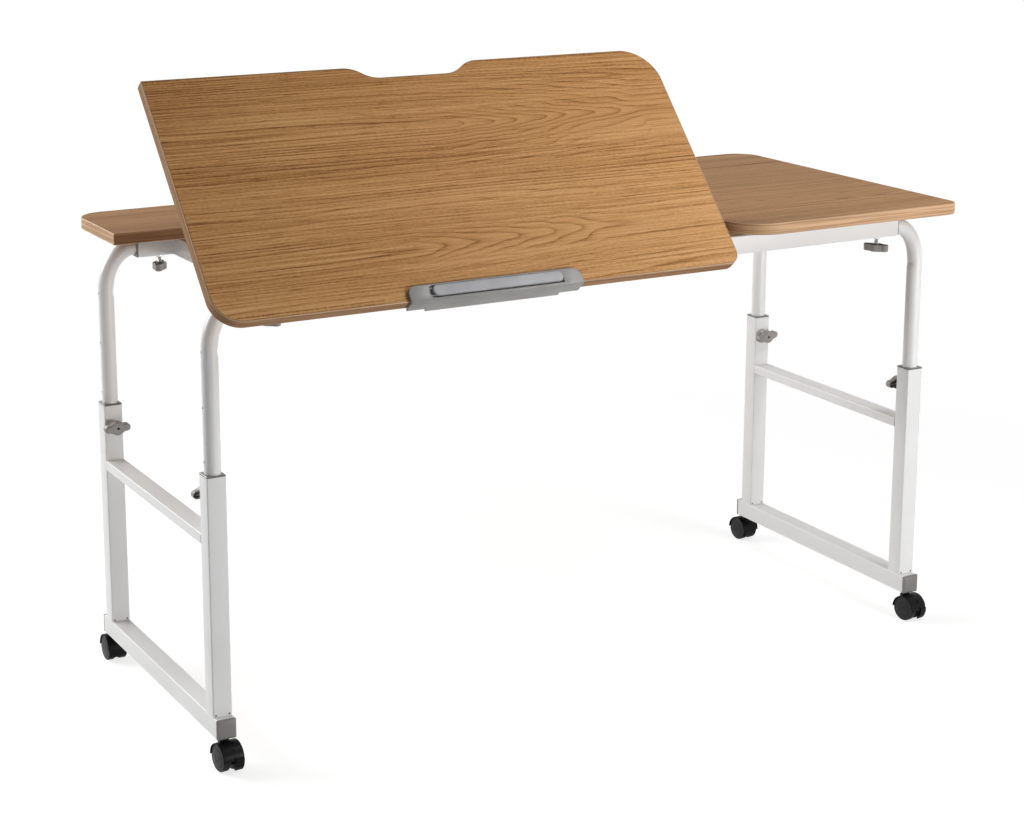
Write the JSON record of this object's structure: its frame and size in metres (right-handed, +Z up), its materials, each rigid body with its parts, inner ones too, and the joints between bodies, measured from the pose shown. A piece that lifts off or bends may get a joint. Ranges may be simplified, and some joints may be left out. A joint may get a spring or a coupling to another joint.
{
  "type": "mobile computer desk",
  "caption": "L-shaped oak-look desk top with a nested tilting panel and book stop on a white telescoping tube frame with clamp knobs and hooded castors.",
  "frame": {"origin": "on the floor under the middle of the top", "axes": "+X to the right along the rails, +Y to the back strip, +Z up"},
  "size_m": [1.3028, 0.606, 0.9804],
  "materials": {
    "oak_top": "matt oak-look laminate on board with matching edge band",
    "oak_tilt": "matt oak-look laminate on board with matching edge band",
    "white_steel": "white powder coat",
    "grey_plastic": "grey moulded caps and collars",
    "knob_plastic": "grey moulded wing knob on a steel screw",
    "stop_plastic": "grey moulded clip",
    "flap_plastic": "silver-grey satin bar",
    "castor_nylon": "black nylon",
    "wheel_nylon": "black nylon wheel",
    "hinge_steel": "zinc-plated plate and pin",
    "rest_rubber": "black rubber button"
  },
  "bodies": {
    "top_frame": {"fixed_top": "oak_top", "front_rail": "white_steel", "rear_rail": "white_steel", "cross_member_left": "white_steel", "cross_member_middle": "white_steel", "cross_member_right": "white_steel", "rail_end_cap_front_left": "grey_plastic", "rail_end_cap_front_right": "grey_plastic", "rail_end_cap_rear_left": "grey_plastic", "rail_end_cap_rear_right": "grey_plastic", "tilt_hinge_base_left": "hinge_steel", "tilt_hinge_base_right": "hinge_steel", "tilt_rest_left": "rest_rubber", "tilt_rest_right": "rest_rubber"},
    "tilt_top": {"tilt_panel": "oak_tilt", "tilt_hinge_arm_left": "hinge_steel", "tilt_hinge_arm_right": "hinge_steel", "book_stop_base": "stop_plastic"},
    "book_stop": {"book_stop_flap": "flap_plastic"},
    "left_uprights": {"upright_front_left": "white_steel", "upright_rear_left": "white_steel"},
    "left_base": {"leg_front_left": "white_steel", "leg_rear_left": "white_steel", "leg_collar_front_left": "grey_plastic", "leg_collar_rear_left": "grey_plastic", "rung_left": "white_steel", "floor_bar_left": "white_steel", "bar_end_cap_front_left": "grey_plastic", "bar_end_cap_rear_left": "grey_plastic"},
    "right_uprights": {"upright_front_right": "white_steel", "upright_rear_right": "white_steel"},
    "right_base": {"leg_front_right": "white_steel", "leg_rear_right": "white_steel", "leg_collar_front_right": "grey_plastic", "leg_collar_rear_right": "grey_plastic", "rung_right": "white_steel", "floor_bar_right": "white_steel", "bar_end_cap_front_right": "grey_plastic", "bar_end_cap_rear_right": "grey_plastic"},
    "height_knob_front_left": {"height_knob_front_left": "knob_plastic"},
    "width_knob_front_left": {"width_knob_front_left": "knob_plastic"},
    "castor_front_left": {"castor_hood_front_left": "castor_nylon"},
    "wheel_front_left_a": {"castor_wheel_front_left_a": "wheel_nylon"},
    "wheel_front_left_b": {"castor_wheel_front_left_b": "wheel_nylon"},
    "height_knob_front_right": {"height_knob_front_right": "knob_plastic"},
    "width_knob_front_right": {"width_knob_front_right": "knob_plastic"},
    "castor_front_right": {"castor_hood_front_right": "castor_nylon"},
    "wheel_front_right_a": {"castor_wheel_front_right_a": "wheel_nylon"},
    "wheel_front_right_b": {"castor_wheel_front_right_b": "wheel_nylon"},
    "height_knob_rear_left": {"height_knob_rear_left": "knob_plastic"},
    "width_knob_rear_left": {"width_knob_rear_left": "knob_plastic"},
    "castor_rear_left": {"castor_hood_rear_left": "castor_nylon"},
    "wheel_rear_left_a": {"castor_wheel_rear_left_a": "wheel_nylon"},
    "wheel_rear_left_b": {"castor_wheel_rear_left_b": "wheel_nylon"},
    "height_knob_rear_right": {"height_knob_rear_right": "knob_plastic"},
    "width_knob_rear_right": {"width_knob_rear_right": "knob_plastic"},
    "castor_rear_right": {"castor_hood_rear_right": "castor_nylon"},
    "wheel_rear_right_a": {"castor_wheel_rear_right_a": "wheel_nylon"},
    "wheel_rear_right_b": {"castor_wheel_rear_right_b": "wheel_nylon"}
  },
  "joints": [
    {"name": "tilt_hinge", "type": "hinge", "parent": "top_frame", "child": "tilt_top", "pos_m": [-0.2165, -0.238, 0.706], "axis": [1, 0, 0], "range_deg": [-48, 12]},
    {"name": "book_stop_hinge", "type": "hinge", "parent": "tilt_top", "child": "book_stop", "pos_m": [-0.214, -0.29935, 0.6836], "axis": [1, 0, 0], "range_deg": [0, 90]},
    {"name": "left_width_slide", "type": "slide", "parent": "top_frame", "child": "left_uprights", "axis": [-1, 0, 0], "range_m": [0, 0.15]},
    {"name": "left_height_slide", "type": "slide", "parent": "left_uprights", "child": "left_base", "axis": [0, 0, -1], "range_m": [-0.13, 0.12]},
    {"name": "right_width_slide", "type": "slide", "parent": "top_frame", "child": "right_uprights", "axis": [1, 0, 0], "range_m": [0, 0.15]},
    {"name": "right_height_slide", "type": "slide", "parent": "right_uprights", "child": "right_base", "axis": [0, 0, -1], "range_m": [-0.13, 0.12]},
    {"name": "height_knob_front_left_turn", "type": "hinge", "parent": "left_base", "child": "height_knob_front_left", "pos_m": [-0.63, -0.2, 0.4065], "axis": [0, 1, 0], "range_deg": [0, 540]},
    {"name": "width_knob_front_left_turn", "type": "hinge", "parent": "top_frame", "child": "width_knob_front_left", "pos_m": [-0.5395, -0.215, 0.673], "axis": [0, 0, -1], "range_deg": [0, 540]},
    {"name": "castor_front_left_swivel", "type": "hinge", "parent": "left_base", "child": "castor_front_left", "pos_m": [-0.63, -0.2315, 0.04], "axis": [0, 0, 1], "continuous": true},
    {"name": "wheel_front_left_a_spin", "type": "hinge", "parent": "castor_front_left", "child": "wheel_front_left_a", "pos_m": [-0.62922, -0.24047, 0.0205], "axis": [-0.9962, -0.0872, 0], "continuous": true},
    {"name": "wheel_front_left_b_spin", "type": "hinge", "parent": "castor_front_left", "child": "wheel_front_left_b", "pos_m": [-0.62922, -0.24047, 0.0205], "axis": [-0.9962, -0.0872, 0], "continuous": true},
    {"name": "height_knob_front_right_turn", "type": "hinge", "parent": "right_base", "child": "height_knob_front_right", "pos_m": [0.63, -0.2, 0.4065], "axis": [0, 1, 0], "range_deg": [0, 540]},
    {"name": "width_knob_front_right_turn", "type": "hinge", "parent": "top_frame", "child": "width_knob_front_right", "pos_m": [0.547, -0.215, 0.673], "axis": [0, 0, -1], "range_deg": [0, 540]},
    {"name": "castor_front_right_swivel", "type": "hinge", "parent": "right_base", "child": "castor_front_right", "pos_m": [0.63, -0.2315, 0.04], "axis": [0, 0, 1], "continuous": true},
    {"name": "wheel_front_right_a_spin", "type": "hinge", "parent": "castor_front_right", "child": "wheel_front_right_a", "pos_m": [0.63141, -0.24039, 0.0205], "axis": [-0.9877, -0.1564, 0], "continuous": true},
    {"name": "wheel_front_right_b_spin", "type": "hinge", "parent": "castor_front_right", "child": "wheel_front_right_b", "pos_m": [0.63141, -0.24039, 0.0205], "axis": [-0.9877, -0.1564, 0], "continuous": true},
    {"name": "height_knob_rear_left_turn", "type": "hinge", "parent": "left_base", "child": "height_knob_rear_left", "pos_m": [-0.63, 0.2, 0.4065], "axis": [0, -1, 0], "range_deg": [0, 540]},
    {"name": "width_knob_rear_left_turn", "type": "hinge", "parent": "top_frame", "child": "width_knob_rear_left", "pos_m": [-0.5395, 0.215, 0.673], "axis": [0, 0, -1], "range_deg": [0, 540]},
    {"name": "castor_rear_left_swivel", "type": "hinge", "parent": "left_base", "child": "castor_rear_left", "pos_m": [-0.63, 0.2315, 0.04], "axis": [0, 0, 1], "continuous": true},
    {"name": "wheel_rear_left_a_spin", "type": "hinge", "parent": "castor_rear_left", "child": "wheel_rear_left_a", "pos_m": [-0.63, 0.2405, 0.0205], "axis": [1, 0, 0], "continuous": true},
    {"name": "wheel_rear_left_b_spin", "type": "hinge", "parent": "castor_rear_left", "child": "wheel_rear_left_b", "pos_m": [-0.63, 0.2405, 0.0205], "axis": [1, 0, 0], "continuous": true},
    {"name": "height_knob_rear_right_turn", "type": "hinge", "parent": "right_base", "child": "height_knob_rear_right", "pos_m": [0.63, 0.2, 0.4065], "axis": [0, -1, 0], "range_deg": [0, 540]},
    {"name": "width_knob_rear_right_turn", "type": "hinge", "parent": "top_frame", "child": "width_knob_rear_right", "pos_m": [0.547, 0.215, 0.673], "axis": [0, 0, -1], "range_deg": [0, 540]},
    {"name": "castor_rear_right_swivel", "type": "hinge", "parent": "right_base", "child": "castor_rear_right", "pos_m": [0.63, 0.2315, 0.04], "axis": [0, 0, 1], "continuous": true},
    {"name": "wheel_rear_right_a_spin", "type": "hinge", "parent": "castor_rear_right", "child": "wheel_rear_right_a", "pos_m": [0.62937, 0.24048, 0.0205], "axis": [0.9976, 0.0698, 0], "continuous": true},
    {"name": "wheel_rear_right_b_spin", "type": "hinge", "parent": "castor_rear_right", "child": "wheel_rear_right_b", "pos_m": [0.62937, 0.24048, 0.0205], "axis": [0.9976, 0.0698, 0], "continuous": true}
  ]
}
